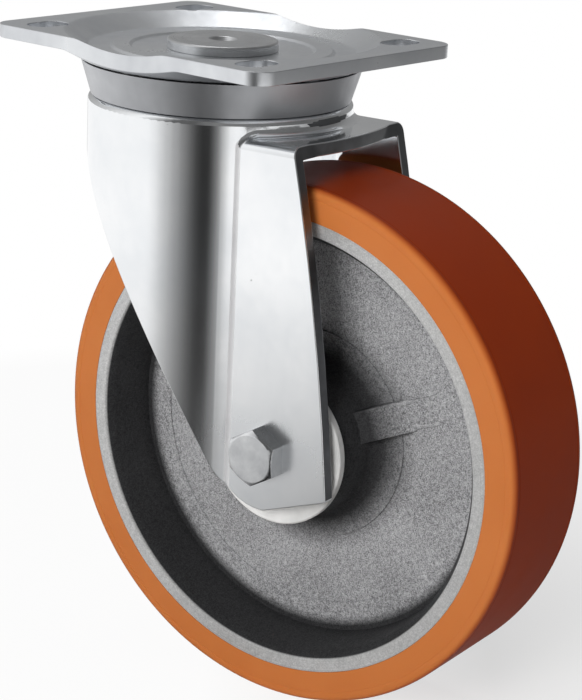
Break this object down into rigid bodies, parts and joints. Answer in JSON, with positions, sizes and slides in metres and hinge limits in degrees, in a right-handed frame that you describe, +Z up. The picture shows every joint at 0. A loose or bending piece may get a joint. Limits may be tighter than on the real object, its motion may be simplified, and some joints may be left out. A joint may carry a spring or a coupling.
{
  "type": "swivel castor",
  "caption": "Plate-mounted swivel castor: pressed steel fork on a double ball race head, with a cast wheel centre and a bonded elastomer tread on ball bearings.",
  "frame": {"origin": "centre of the mounting plate's top face, on the swivel axis", "axes": "+Z up, out of the plate's top face; +X along the plate's short side; +Y along its long side, away from the trailing wheel"},
  "size_m": [0.1106, 0.2191, 0.245],
  "materials": {
    "zinc_plate": "bright zinc plated sheet",
    "zinc_fork": "bright zinc plated sheet",
    "fasteners": "zinc plated",
    "bearing_steel": "ground",
    "cage_plastic": "moulded",
    "casting": "silver painted sand casting",
    "tread": "moulded polyurethane, satin"
  },
  "bodies": {
    "mounting": {"top_plate": "zinc_plate", "kingpin": "fasteners", "kingpin_nut": "fasteners", "lower_race": "bearing_steel"},
    "upper_balls": {"upper_balls": "bearing_steel"},
    "lower_balls": {"lower_balls": "bearing_steel"},
    "swivel_fork": {"fork": "zinc_fork", "dust_ring": "zinc_fork", "axle_bolt": "fasteners", "axle_nut": "fasteners", "axle_tube": "bearing_steel", "distance_sleeve": "bearing_steel", "near_inner_ring": "bearing_steel", "near_thread_guard": "zinc_fork", "near_spacer": "fasteners", "far_inner_ring": "bearing_steel", "far_thread_guard": "zinc_fork", "far_spacer": "fasteners"},
    "wheel": {"wheel_centre": "casting", "tyre": "tread", "near_outer_ring": "bearing_steel", "far_outer_ring": "bearing_steel"},
    "near_bearing": {"near_bearing_balls": "bearing_steel", "near_ball_cage": "cage_plastic"},
    "far_bearing": {"far_bearing_balls": "bearing_steel", "far_ball_cage": "cage_plastic"}
  },
  "joints": [
    {"name": "swivel", "type": "hinge", "parent": "mounting", "child": "swivel_fork", "pos_m": [0, 0, 0], "axis": [0, 0, 1], "continuous": true},
    {"name": "wheel_spin", "type": "hinge", "parent": "swivel_fork", "child": "wheel", "pos_m": [0.00523, -0.04972, -0.145], "axis": [0.9945, 0.1045, 0], "continuous": true},
    {"name": "upper_ball_roll", "type": "hinge", "parent": "mounting", "child": "upper_balls", "pos_m": [0, 0, 0], "axis": [0, 0, 1], "continuous": true},
    {"name": "lower_ball_roll", "type": "hinge", "parent": "mounting", "child": "lower_balls", "pos_m": [0, 0, 0], "axis": [0, 0, 1], "continuous": true},
    {"name": "near_bearing_roll", "type": "hinge", "parent": "swivel_fork", "child": "near_bearing", "pos_m": [0.00523, -0.04972, -0.145], "axis": [0.9945, 0.1045, 0], "continuous": true},
    {"name": "far_bearing_roll", "type": "hinge", "parent": "swivel_fork", "child": "far_bearing", "pos_m": [0.00523, -0.04972, -0.145], "axis": [0.9945, 0.1045, 0], "continuous": true}
  ],
  "couplings": [
    {"joint": "upper_ball_roll", "follows": "swivel", "ratio": 0.5},
    {"joint": "lower_ball_roll", "follows": "swivel", "ratio": 0.5},
    {"joint": "near_bearing_roll", "follows": "wheel_spin", "ratio": 0.6185},
    {"joint": "far_bearing_roll", "follows": "wheel_spin", "ratio": 0.6185}
  ]
}
